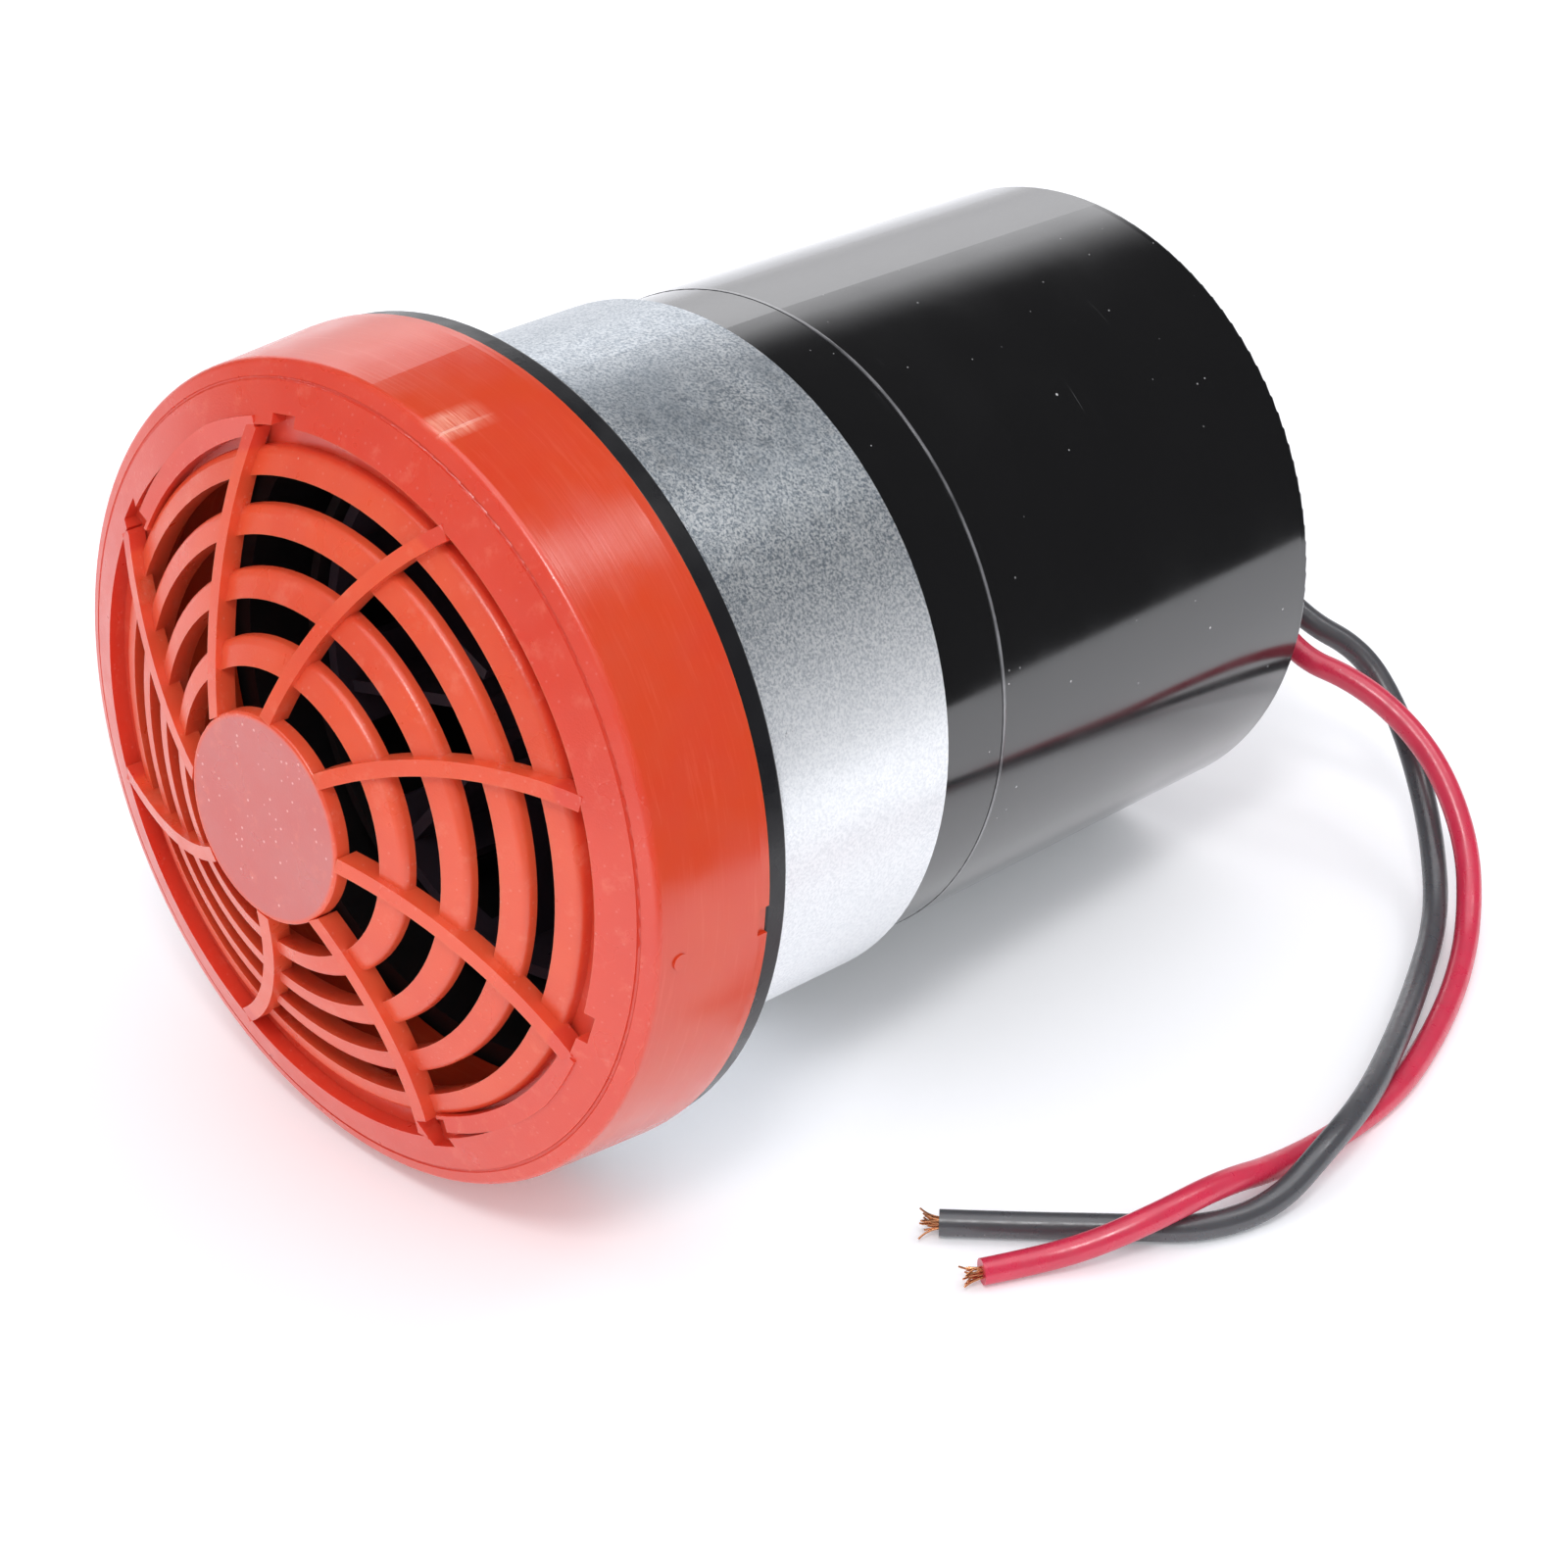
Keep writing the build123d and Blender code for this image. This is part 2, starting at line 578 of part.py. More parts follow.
save(screws(plate_screw_places, STATOR_REAR - STATOR_WALL, PLATE_SCREW_TIP), "plate_screws")
save(screws(motor_screw_places, PLATE_FRONT, MOTOR_SCREW_TIP), "motor_screws")

# ---------------------------------------------------------------- motor, fixed pieces
CAN_INNER_RADIUS = CAN_RADIUS - CAN_WALL

with BuildPart() as can:
    add(turned(
        (MOTOR_BOSS_FRONT, BUSH_RADIUS),
        (MOTOR_BOSS_FRONT, MOTOR_BOSS_RADIUS),
        (PLATE_REAR, MOTOR_BOSS_RADIUS),
        (PLATE_REAR, CAN_RADIUS),
        (CAN_REAR, CAN_RADIUS),
        (CAN_REAR, CAN_INNER_RADIUS),
        (PLATE_REAR + CAN_WALL, CAN_INNER_RADIUS),
        (PLATE_REAR + CAN_WALL, BUSH_RADIUS),
    ))
    with BuildSketch(at(PLATE_REAR)):
        with Locations(*motor_screw_places):
            Circle(SCREW_RADIUS)
    extrude(amount=-CAN_WALL, mode=Mode.SUBTRACT)
save(can.part, "motor_can")


def bush(front, rear):
    """Plain bearing round the shaft."""
    bore = SHAFT_RADIUS + RUNNING_GAP
    return turned((front, bore), (front, BUSH_RADIUS), (rear, BUSH_RADIUS), (rear, bore))


save(bush(MOTOR_BOSS_FRONT, PLATE_REAR + CAN_WALL), "front_bush")
save(bush(BELL_REAR - BELL_HUB, BELL_REAR + BELL_HUB), "rear_bush")

with BuildPart() as bell:
    add(turned(
        (CAN_REAR - BELL_SPIGOT, CAN_INNER_RADIUS - BELL_WALL),
        (CAN_REAR - BELL_SPIGOT, CAN_INNER_RADIUS),
        (CAN_REAR, CAN_INNER_RADIUS),
        (CAN_REAR, CAN_RADIUS),
        (BELL_REAR, CAN_RADIUS),
        (BELL_REAR, BELL_HUB_RADIUS),
        (BELL_REAR + BELL_HUB, BELL_HUB_RADIUS),
        (BELL_REAR + BELL_HUB, BUSH_RADIUS),
        (BELL_REAR - BELL_HUB, BUSH_RADIUS),
        (BELL_REAR - BELL_HUB, BELL_HUB_RADIUS),
        (BELL_REAR - BELL_WALL, BELL_HUB_RADIUS),
        (BELL_REAR - BELL_WALL, CAN_INNER_RADIUS - BELL_WALL),
    ))
    with BuildSketch(at(BELL_REAR)):
        for side in (-1, 1):
            with Locations((0, side * TERMINAL_RADIUS)):
                Rectangle(TERMINAL_WIDTH, TERMINAL_THICKNESS)
    extrude(amount=BELL_WALL, mode=Mode.SUBTRACT)
save(bell.part, "end_bell")

for angle, name in ((0, "magnet_right"), (180, "magnet_left")):
    with BuildPart() as magnet:
        with BuildSketch(at(MAGNET_REAR)):
            Circle(CAN_INNER_RADIUS)
            Circle(MAGNET_INNER_RADIUS, mode=Mode.SUBTRACT)
            with BuildLine():
                ends = [polar(2 * CAN_RADIUS, angle + side * MAGNET_HALF_ANGLE) for side in (-1, 1)]
                Polyline((0, 0), ends[0], polar(4 * CAN_RADIUS, angle), ends[1], close=True)
            make_face(mode=Mode.INTERSECT)
        extrude(amount=MAGNET_REAR - MAGNET_FRONT)
    save(magnet.part, name)

for side, name in ((1, "upper"), (-1, "lower")):
    with BuildPart() as brush:
        with BuildSketch(at(BRUSH_REAR)):
            with Locations((0, side * (BRUSH_INNER + TERMINAL_INNER) / 2)):
                Rectangle(BRUSH_WIDTH, TERMINAL_INNER - BRUSH_INNER)
        extrude(amount=BRUSH_REAR - BRUSH_FRONT)
    save(brush.part, f"brush_{name}")
    with BuildPart() as terminal:
        with BuildSketch(at(TERMINAL_REAR)):
            with Locations((0, side * TERMINAL_RADIUS)):
                Rectangle(TERMINAL_WIDTH, TERMINAL_THICKNESS)
        extrude(amount=TERMINAL_REAR - BRUSH_FRONT)
    save(terminal.part, f"brush_terminal_{name}")

# ---------------------------------------------------------------- motor, turning pieces
POLE_ANGLE = 360 / POLE_COUNT

with BuildPart() as core:
    with BuildSketch(at(CORE_REAR)):
        Circle(CORE_RADIUS)
        Circle(SHAFT_RADIUS, mode=Mode.SUBTRACT)
        with BuildSketch(mode=Mode.PRIVATE) as pockets:
            Circle(POCKET_OUTER)
            Circle(POCKET_INNER, mode=Mode.SUBTRACT)
            with PolarLocations(CORE_RADIUS / 2, POLE_COUNT):
                Rectangle(CORE_RADIUS, TOOTH_WIDTH, mode=Mode.SUBTRACT)
        add(pockets.sketch, mode=Mode.SUBTRACT)
        with PolarLocations(CORE_RADIUS, POLE_COUNT, start_angle=POLE_ANGLE / 2):
            Rectangle(3 * (CORE_RADIUS - POCKET_OUTER), SLOT_WIDTH, mode=Mode.SUBTRACT)
    extrude(amount=CORE_REAR - CORE_FRONT)
save(core.part, "armature_core")

with BuildPart() as windings:
    coil_middle = (COIL_INNER + COIL_OUTER) / 2
    with BuildSketch(at(CORE_REAR + COIL_THICKNESS)):
        with PolarLocations(coil_middle, POLE_COUNT):
            Rectangle(COIL_OUTER - COIL_INNER, TOOTH_WIDTH + 2 * COIL_THICKNESS)
    extrude(amount=CORE_REAR - CORE_FRONT + 2 * COIL_THICKNESS)
    with BuildSketch(at(CORE_REAR)):
        with PolarLocations(coil_middle, POLE_COUNT):
            Rectangle(COIL_OUTER - COIL_INNER, TOOTH_WIDTH)
    extrude(amount=CORE_REAR - CORE_FRONT, mode=Mode.SUBTRACT)
save(windings.part, "armature_windings")

with BuildPart() as commutator:
    with BuildSketch(at(COMMUTATOR_REAR)):
        Circle(COMMUTATOR_RADIUS)
        Circle(SHAFT_RADIUS, mode=Mode.SUBTRACT)
        with PolarLocations(COMMUTATOR_RADIUS, POLE_COUNT):
            Rectangle(*COMMUTATOR_SLOT, mode=Mode.SUBTRACT)
    extrude(amount=COMMUTATOR_REAR - COMMUTATOR_FRONT)
save(commutator.part, "commutator")

# ---------------------------------------------------------------- collar and motor cover
with BuildPart() as collar:
    add(turned(
        (PLATE_REAR, COLLAR_RADIUS - COLLAR_WALL),
        (PLATE_REAR, COLLAR_RADIUS),
        (COVER_FRONT - SEAM, COLLAR_RADIUS),
        (COVER_FRONT - SEAM, SPIGOT_RADIUS),
        (COVER_FRONT + SPIGOT_LENGTH, SPIGOT_RADIUS),
        (COVER_FRONT + SPIGOT_LENGTH, SPIGOT_RADIUS - COLLAR_WALL),
        (COVER_FRONT - COLLAR_WALL, SPIGOT_RADIUS - COLLAR_WALL),
        (COVER_FRONT - COLLAR_WALL, COLLAR_RADIUS - COLLAR_WALL),
    ))
    with BuildSketch(at(PLATE_REAR)):
        with Locations(*plate_screw_places):
            Circle(POST_RADIUS)
    extrude(amount=PLATE_REAR - COVER_FRONT + COLLAR_WALL)
    with BuildSketch(at(PLATE_REAR)):
        with Locations(*plate_screw_places):
            Circle(SCREW_RADIUS)
    extrude(amount=PLATE_REAR - PLATE_SCREW_TIP, mode=Mode.SUBTRACT)
save(collar.part, "tube_collar")

LEADS_MIDDLE = ((BLACK_EXIT[0] + RED_EXIT[0]) / 2, (BLACK_EXIT[1] + RED_EXIT[1]) / 2)
LEADS_APART = ((RED_EXIT[0] - BLACK_EXIT[0]) ** 2 + (RED_EXIT[1] - BLACK_EXIT[1]) ** 2) ** 0.5
LEADS_ANGLE = degrees(atan2(RED_EXIT[1] - BLACK_EXIT[1], RED_EXIT[0] - BLACK_EXIT[0]))


def grommet_slot(station, half_width):
    """Slot-shaped face round both leads at a station."""
    with BuildSketch(at(station)) as slot:
        with Locations(Location((*LEADS_MIDDLE, 0), LEADS_ANGLE)):
            SlotCenterToCenter(LEADS_APART, 2 * half_width)
    return slot.sketch


board_screw_places = [polar(BOARD_SCREW_CIRCLE, angle) for angle in BOARD_SCREW_ANGLES]
COVER_INNER_REAR = COVER_REAR - COVER_WALL

with BuildPart() as cover:
    with BuildSketch(SECTION):
        with BuildLine():
            Polyline(
                (COVER_FRONT, COVER_FRONT_RADIUS - COVER_WALL),
                (COVER_FRONT, COVER_FRONT_RADIUS),
                (COVER_REAR - REST_LAND, COVER_REAR_RADIUS),
                (COVER_REAR, COVER_REAR_RADIUS),
                (COVER_REAR, INSERT_RADIUS),
                (INSERT_FRONT, INSERT_RADIUS),
                (INSERT_FRONT, 0),
                (INSERT_FRONT - INSERT_FLOOR, 0),
                (INSERT_FRONT - INSERT_FLOOR, INSERT_BOSS_RADIUS),
                (COVER_INNER_REAR, INSERT_BOSS_RADIUS),
                (COVER_INNER_REAR, COVER_REAR_RADIUS - COVER_WALL),
                close=True,
            )
        shell = make_face()
        rest_edge = shell.vertices().sort_by_distance((COVER_REAR, COVER_REAR_RADIUS))[0]
        fillet(rest_edge, radius=EDGE_ROUND)
    revolve(axis=SIREN_AXIS)
    with BuildSketch(at(BOARD_REAR)):
        with Locations(*board_screw_places):
            Circle(BOARD_POST_RADIUS)
    extrude(amount=BOARD_REAR - COVER_INNER_REAR)
    with BuildSketch(at(BOARD_REAR)):
        with Locations(*board_screw_places):
            Circle(SCREW_RADIUS)
    extrude(amount=BOARD_REAR - BOARD_SCREW_TIP, mode=Mode.SUBTRACT)
    extrude(grommet_slot(COVER_INNER_REAR, GROMMET_WAIST), amount=-COVER_WALL, mode=Mode.SUBTRACT)
save(cover.part, "motor_cover")

save(turned((INSERT_FRONT, THREAD_RADIUS), (INSERT_FRONT, INSERT_RADIUS),
            (COVER_REAR, INSERT_RADIUS), (COVER_REAR, THREAD_RADIUS)), "mount_insert")

with BuildPart() as grommet:
    extrude(grommet_slot(COVER_INNER_REAR - GROMMET_FLANGE, GROMMET_INNER), amount=-GROMMET_FLANGE)
    extrude(grommet_slot(COVER_INNER_REAR, GROMMET_WAIST), amount=-COVER_WALL)
    extrude(grommet_slot(COVER_REAR, GROMMET_OUTER), amount=-GROMMET_FLANGE)
    with BuildSketch(at(COVER_INNER_REAR - GROMMET_FLANGE)):
        with Locations(BLACK_EXIT, RED_EXIT):
            Circle(LEAD_RADIUS)
    extrude(amount=-COVER_WALL - 2 * GROMMET_FLANGE, mode=Mode.SUBTRACT)
save(grommet.part, "cable_grommet")

# ---------------------------------------------------------------- suppressor board
with BuildPart() as board:
    with BuildSketch(at(BOARD_REAR)):
        Circle(BOARD_RADIUS)
        Circle(BOARD_HOLE, mode=Mode.SUBTRACT)
        with Locations(*board_screw_places):
            Circle(SCREW_CLEARANCE, mode=Mode.SUBTRACT)
        with Locations((0, TERMINAL_RADIUS), (0, -TERMINAL_RADIUS)):
            Rectangle(TERMINAL_WIDTH, TERMINAL_THICKNESS, mode=Mode.SUBTRACT)
    extrude(amount=BOARD_REAR - BOARD_FRONT)
save(board.part, "suppressor_board")

save(screws(board_screw_places, BOARD_FRONT, BOARD_SCREW_TIP), "board_screws")

with BuildPart() as capacitor:
    with BuildSketch(at(BOARD_FRONT)):
        with Locations(CAPACITOR_PLACE):
            RectangleRounded(*CAPACITOR_SIZE, CAPACITOR_ROUND)
    extrude(amount=CAPACITOR_HEIGHT)
save(capacitor.part, "capacitor")

# ---------------------------------------------------------------- leads


def corner_radii(points):
    """Each arc is as large as the shorter of its two runs allows."""
    radii = []
    for before, corner, after in zip(points, points[1:], points[2:]):
        arriving, leaving = corner - before, after - corner
        half_turn = radians(arriving.get_angle(leaving)) / 2
        radii.append(RUN_SHARE * min(arriving.length, leaving.length) / tan(half_turn))
    return radii


def lead(name, points):
    """Insulated lead, and the bare strands that stick out of its free end."""
    radii = corner_radii(points)
    with BuildPart() as tube:
        with BuildLine() as path:
            FilletPolyline(*points, radius=radii)
        with BuildSketch(Plane(origin=path.line @ 0, z_dir=path.line % 0)):
            Circle(LEAD_RADIUS)
        sweep(path=path.line)
    save(tube.part, f"{name}_lead")
    with BuildPart() as strands:
        with BuildSketch(Plane(origin=path.line @ 1, z_dir=path.line % 1)):
            Circle(STRAND_BUNDLE_RADIUS)
        extrude(amount=STRAND_LENGTH)
    save(strands.part, f"{name}_strands")
    length = path.wire().length
    expected = pi * LEAD_RADIUS**2 * length
    print(f"{name}: length {length:.1f}, tightest radius {min(radii):.1f}, "
          f"volume {tube.part.volume:.1f} of {expected:.1f}")


for name, exit_place, first_corner, route in (
    ("black", BLACK_EXIT, BLACK_FIRST_CORNER, BLACK_ROUTE),
    ("red", RED_EXIT, RED_FIRST_CORNER, RED_ROUTE),
):
    start = [place(BOARD_REAR, *exit_place), place(first_corner, *exit_place)]
    lead(name, start + [Vector(*point) for point in route])
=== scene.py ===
"""Looks of the motor siren: camera, light, floor, leads and procedural materials.

Lengths are in metres and angles in radians. A station is a distance behind the cap's front rim,
along the siren's own axis. An angle round that axis starts on the right and rises over the top.
"""

import json
import random
from math import cos, pi, radians, sin

import bmesh
import bpy
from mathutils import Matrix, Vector


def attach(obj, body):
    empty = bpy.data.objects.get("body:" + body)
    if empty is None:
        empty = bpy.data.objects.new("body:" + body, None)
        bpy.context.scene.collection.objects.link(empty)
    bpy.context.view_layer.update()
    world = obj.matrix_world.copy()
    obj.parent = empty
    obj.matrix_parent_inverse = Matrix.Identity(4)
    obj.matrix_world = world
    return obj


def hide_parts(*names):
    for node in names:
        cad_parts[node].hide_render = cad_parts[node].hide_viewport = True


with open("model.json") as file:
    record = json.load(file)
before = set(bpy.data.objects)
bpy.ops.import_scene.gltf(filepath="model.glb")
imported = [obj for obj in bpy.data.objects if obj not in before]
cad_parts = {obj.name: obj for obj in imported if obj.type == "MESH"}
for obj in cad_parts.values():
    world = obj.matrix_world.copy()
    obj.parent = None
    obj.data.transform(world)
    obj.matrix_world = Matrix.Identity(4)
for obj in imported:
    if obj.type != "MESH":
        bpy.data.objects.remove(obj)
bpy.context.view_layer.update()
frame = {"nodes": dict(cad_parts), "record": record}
NODES = frame["nodes"]
BODY = "siren_body"

# ---------------------------------------------------------------- the siren's own axis
insert = next(mount for mount in frame["record"]["mounts"] if mount["name"] == "rear_insert")
RIGHT = Vector((1, 0, 0))
REARWARD = Vector(insert["axis"]).normalized()
UPWARD = RIGHT.cross(REARWARD)
REAR_STATION = 0.097
RIM_CENTRE = Vector(insert["pos_m"]) - REARWARD * REAR_STATION


def place(station, right=0.0, up=0.0):
    """Point at a station, right of the siren's axis and above it."""
    return RIM_CENTRE + REARWARD * station + RIGHT * right + UPWARD * up


def add_object(name, data):
    """New object in the scene."""
    made = bpy.data.objects.new(name, data)
    bpy.context.collection.objects.link(made)
    return made


# ---------------------------------------------------------------- camera
CAMERA_PLACE = Vector((0.27076, -0.25538, 0.27430))
CAMERA_AZIMUTH = radians(45.463)
CAMERA_ELEVATION = radians(34.320)
SENSOR = 36.0  # millimetres, as the lens
LENS = 103.19
NEAREST = 0.01
FARTHEST = 20

camera_data = bpy.data.cameras.new("camera")
camera_data.sensor_width = SENSOR
camera_data.lens = LENS
camera_data.clip_start = NEAREST
camera_data.clip_end = FARTHEST
camera = add_object("camera", camera_data)
camera.location = CAMERA_PLACE
camera.rotation_euler = (pi / 2 - CAMERA_ELEVATION, 0, CAMERA_AZIMUTH)
bpy.context.scene.camera = camera


# ---------------------------------------------------------------- node trees
class Nodes:
    """A node tree, with short calls for the nodes that shading is built from."""

    def __init__(self, tree):
        self.tree = tree

    def node(self, kind, inputs=(), **settings):
        """New node with its settings, its inputs linked or set."""
        made = self.tree.nodes.new(kind)
        for name, value in settings.items():
            setattr(made, name, value)
        for socket, value in dict(inputs).items():
            if isinstance(value, bpy.types.NodeSocket):
                self.tree.links.new(value, made.inputs[socket])
            else:
                made.inputs[socket].default_value = value
        return made

    def math(self, operation, first, second=0.0):
        return self.node("ShaderNodeMath", {0: first, 1: second}, operation=operation).outputs[0]

    def times(self, first, *others):
        """Product of values."""
        for other in others:
            first = self.math("MULTIPLY", first, other)
        return first

    def vector(self, operation, first, second=(0, 0, 0)):
        made = self.node("ShaderNodeVectorMath", {0: first, 1: second}, operation=operation)
        output = "Value" if operation in ("DOT_PRODUCT", "LENGTH") else "Vector"
        return made.outputs[output]

    def span(self, value, low, high, to_low=0.0, to_high=1.0, kind="LINEAR"):
        """value from low..high, clamped, moved to to_low..to_high."""
        inputs = {"Value": value, "From Min": low, "From Max": high}
        inputs |= {"To Min": to_low, "To Max": to_high}
        return self.node("ShaderNodeMapRange", inputs, interpolation_type=kind).outputs["Result"]

    def fade(self, value, low, high, kind="LINEAR"):
        """1 up to low, falling to 0 at high."""
        return self.span(value, low, high, 1.0, 0.0, kind)

    def plateau(self, value, start, full, fall, end, kind="LINEAR"):
        """0 at start, 1 from full to fall, 0 again at end."""
        return self.times(self.span(value, start, full, kind=kind), self.fade(value, fall, end, kind))

    def mix(self, factor, first, second):
        """Number between two others."""
        return self.node("ShaderNodeMix", {0: factor, 2: first, 3: second}).outputs[0]


# ---------------------------------------------------------------- floor and light
FLOOR_HALF = 0.45
FLOOR_SHIFT = -0.3  # the sheet ends a little way right of the siren
FLOOR_COLOUR = (0.92, 0.915, 0.935, 1)
FLOOR_ROUGHNESS = 0.75
FLOOR_SHEEN = 0.15
FLOOR_GLOW = 0.15  # a little light of the floor's own, which keeps it pale
FLOOR_GLOW_COLOUR = (0.88, 0.96, 1, 1)

STUDIO_COLOUR = (0.975, 0.975, 1.0, 1)
SEEN = 1.0  # brightness of the surroundings in the picture itself
FILL = 1.0  # brightness of the surroundings as plain light
SHADE = 0.06  # brightness of the dark parts that glossy surfaces mirror
BACKDROP_WAY = (-0.73, 0.68, 0)  # level direction of the bright backdrop behind the siren
BACKDROP_EDGE = (0.74, 0.93)  # cosines off that direction where the backdrop starts and is full
BACKDROP_RISE = (0.0, 0.3, 0.95, 1.75)  # sines of elevation and the backdrop's brightness there
BACKDROP_TOP = (0.3, 0.55)  # sines of elevation over which the backdrop ends
OVERHEAD_EDGE = (0.84, 0.93)  # sines of elevation where the diffuser starts and is full
OVERHEAD = 1.8  # brightness of the diffuser straight above

# name, place, aim, side length and power in watts of each square soft light
LIGHTS = (
    ("behind", (0.36, 0.50, 0.94), (0, 0, 0.03), 0.26, 0.9),
    ("front", (0.40, -0.46, 0.98), (0, -0.03, 0.03), 0.22, 3.0),
)


def area_light(name, where, towards, size, power):
    """Square soft light."""
    data = bpy.data.lights.new(name, "AREA")
    data.size = size
    data.energy = power
    light = add_object(name, data)
    light.location = where
    light.rotation_euler = (Vector(towards) - Vector(where)).to_track_quat("-Z", "Y").to_euler()


def floor():
    """Plain pale floor."""
    mesh = bpy.data.meshes.new("floor")
    form = bmesh.new()
    bmesh.ops.create_grid(form, x_segments=1, y_segments=1, size=FLOOR_HALF)
    form.to_mesh(mesh)
    form.free()
    material = bpy.data.materials.new("floor")
    material.use_nodes = True
    shader = material.node_tree.nodes["Principled BSDF"]
    shader.inputs["Base Color"].default_value = FLOOR_COLOUR
    shader.inputs["Roughness"].default_value = FLOOR_ROUGHNESS
    shader.inputs["Emission Color"].default_value = FLOOR_GLOW_COLOUR
    shader.inputs["Emission Strength"].default_value = FLOOR_GLOW
    shader.inputs["Specular IOR Level"].default_value = FLOOR_SHEEN
    mesh.materials.append(material)
    plane = add_object("floor", mesh)
    plane.location.x = FLOOR_SHIFT


def studio():
    """White surroundings, which glossy surfaces see as a lit backdrop, a dark room and a diffuser."""
    world = bpy.data.worlds.new("studio")
    bpy.context.scene.world = world
    world.use_nodes = True
    nodes = Nodes(world.node_tree)
    way = nodes.node("ShaderNodeTexCoord").outputs["Generated"]
    rise = nodes.vector("DOT_PRODUCT", way, (0, 0, 1))
    level = nodes.vector("NORMALIZE", nodes.vector("MULTIPLY", way, (1, 1, 0)))
    facing = nodes.vector("DOT_PRODUCT", level, BACKDROP_WAY)
    backdrop = nodes.times(
        nodes.span(facing, *BACKDROP_EDGE, kind="SMOOTHSTEP"),
        nodes.span(rise, *BACKDROP_RISE),
        nodes.fade(rise, *BACKDROP_TOP, kind="SMOOTHSTEP"),
    )
    above = nodes.span(rise, *OVERHEAD_EDGE, SHADE, OVERHEAD)
    mirrored = nodes.math("ADD", backdrop, above)
    path = nodes.node("ShaderNodeLightPath").outputs
    brightness = nodes.mix(path["Is Glossy Ray"], FILL, mirrored)
    brightness = nodes.mix(path["Is Camera Ray"], brightness, SEEN)
    background = world.node_tree.nodes["Background"]
    world.node_tree.links.new(brightness, background.inputs["Strength"])
    background.inputs["Color"].default_value = STUDIO_COLOUR
    for light in LIGHTS:
        area_light(*light)
    settings = bpy.context.scene.view_settings
    settings.view_transform = "Standard"
    settings.look = "None"


floor()
studio()


# ---------------------------------------------------------------- materials
TURN_RADIUS = 0.035  # radius at which a texture drawn out round the siren has its true size
SOFT_SHARE = 0.6  # a speck is full within this share of its radius
FULL_SHARE = 0.5  # a band is full within this share of its half width
BUMP_UNIT = 0.001


class Shade(Nodes):
    """One material's node tree round its Principled shader."""

    def __init__(self, name, colour, roughness, metallic=0.0):
        self.material = bpy.data.materials.new(name)
        self.material.use_nodes = True
        super().__init__(self.material.node_tree)
        self.shader = self.tree.nodes["Principled BSDF"]
        self.set(Metallic=metallic, Roughness=roughness)
        self.shader.inputs["Base Color"].default_value = (*colour, 1)
        self.height = None
        self.point = self.tree.nodes.new("ShaderNodeTexCoord").outputs["Object"]

    def set(self, **values):
        """Constants on the shader's own sockets; an underscore stands for a space."""
        for name, value in values.items():
            self.shader.inputs[name.replace("_", " ")].default_value = value

    def drive(self, name, value):
        """Joins a computed value to one of the shader's sockets."""
        self.tree.links.new(value, self.shader.inputs[name])

    def noise(self, size, detail=2.0, point=None, roughness=0.5):
        """Noise from 0 to 1 whose lumps are about that size."""
        inputs = {"Vector": point or self.point, "Scale": 1 / size}
        inputs |= {"Detail": detail, "Roughness": roughness}
        return self.node("ShaderNodeTexNoise", inputs).outputs["Fac"]

    def cells(self, size):
        """Irregular cells: distance from the middle in cell sizes, and a random number for each."""
        made = self.node("ShaderNodeTexVoronoi", {"Vector": self.point, "Scale": 1 / size})
        chance = self.node("ShaderNodeSeparateColor", {0: made.outputs["Color"]}).outputs[0]
        return made.outputs["Distance"], chance

    def specks(self, size, share, dot):
        """1 in dots of radius dot cell sizes, one to a cell of that size, in that share of the cells."""
        distance, chance = self.cells(size)
        near = self.fade(distance, dot * SOFT_SHARE, dot)
        return self.times(near, self.math("LESS_THAN", chance, share))

    def band(self, value, middle, half_width):
        """1 where value is close to middle, falling to 0 at half_width from it."""
        off = self.math("ABSOLUTE", self.math("SUBTRACT", value, middle))
        return self.fade(off, half_width * FULL_SHARE, half_width)

    def tint(self, factor, colour):
        """Moves the base colour towards another one by factor."""
        socket = self.shader.inputs["Base Color"]
        before = socket.links[0].from_socket if socket.is_linked else socket.default_value[:]
        mix = self.node("ShaderNodeMix", {0: factor, 6: before, 7: (*colour, 1)}, data_type="RGBA")
        self.tree.links.new(mix.outputs[2], socket)

    def raise_by(self, value, depth):
        """Adds value times depth to the surface's height."""
        part = self.times(value, depth / BUMP_UNIT)
        self.height = part if self.height is None else self.math("ADD", self.height, part)

    def done(self):
        """Joins the height to the shader as bump and gives the material."""
        if self.height is not None:
            inputs = {"Strength": 1.0, "Distance": BUMP_UNIT, "Height": self.height}
            self.drive("Normal", self.node("ShaderNodeBump", inputs).outputs["Normal"])
        return self.material


class TurnedShade(Shade):
    """Material that knows each point's station, radius and angle round the siren's axis."""

    def __init__(self, name, colour, roughness, metallic=0.0):
        super().__init__(name, colour, roughness, metallic)
        local = self.vector("SUBTRACT", self.point, tuple(RIM_CENTRE))
        right = self.vector("DOT_PRODUCT", local, tuple(RIGHT))
        up = self.vector("DOT_PRODUCT", local, tuple(UPWARD))
        across = self.node("ShaderNodeCombineXYZ", {0: right, 1: up}).outputs[0]
        self.station = self.vector("DOT_PRODUCT", local, tuple(REARWARD))
        self.radius = self.vector("LENGTH", across)
        self.angle = self.math("ARCTAN2", up, right)

    def drawn_noise(self, around, along, detail, roughness=0.5):
        """Noise whose lumps are that long round the siren and along it."""
        point = self.node("ShaderNodeCombineXYZ", {
            0: self.times(self.station, 1 / along),
            1: self.times(self.angle, TURN_RADIUS / around),
        }).outputs[0]
        return self.noise(1.0, detail, point, roughness)


def darker(colour, share):
    return tuple(channel * share for channel in colour)


